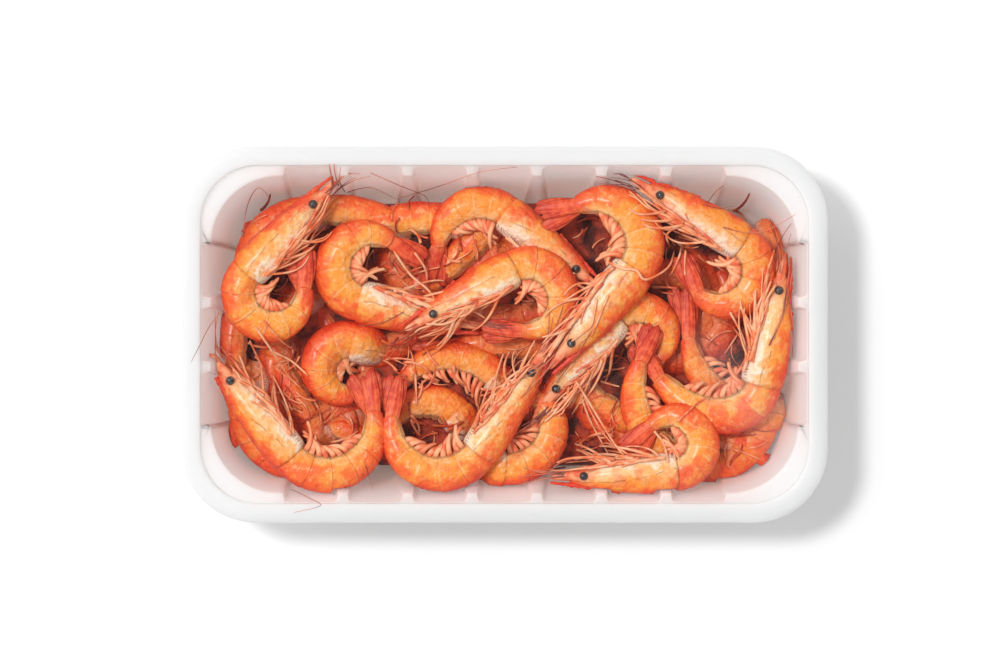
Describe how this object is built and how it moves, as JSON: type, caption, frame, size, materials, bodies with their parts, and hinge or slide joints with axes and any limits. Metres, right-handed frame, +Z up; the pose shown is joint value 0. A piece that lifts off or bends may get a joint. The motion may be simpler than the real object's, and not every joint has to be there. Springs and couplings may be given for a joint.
{
  "type": "tray pack of cooked whole shrimp",
  "caption": "Shallow white moulded tray with a wide flange and fluted walls, filled with curled cooked whole shrimp under a flat clear film.",
  "frame": {"origin": "centre of the tray's flat underside", "axes": "+Z up out of the tray, +X along the long side"},
  "size_m": [0.225, 0.131, 0.0423],
  "materials": {
    "tray": "satin white foam-like plastic",
    "film": "thin clear stretched film",
    "shrimp": "moist orange cooked shell"
  },
  "bodies": {
    "root": {"tray": "tray", "clear_film": "film", "lower_layer": "shrimp", "shrimp_01": "shrimp", "shrimp_02": "shrimp", "shrimp_03": "shrimp", "shrimp_04": "shrimp", "shrimp_05": "shrimp", "shrimp_06": "shrimp", "shrimp_07": "shrimp", "shrimp_08": "shrimp", "shrimp_09": "shrimp", "shrimp_10": "shrimp", "shrimp_11": "shrimp", "shrimp_12": "shrimp", "shrimp_13": "shrimp", "shrimp_14": "shrimp", "shrimp_15": "shrimp", "shrimp_16": "shrimp"}
  },
  "joints": []
}
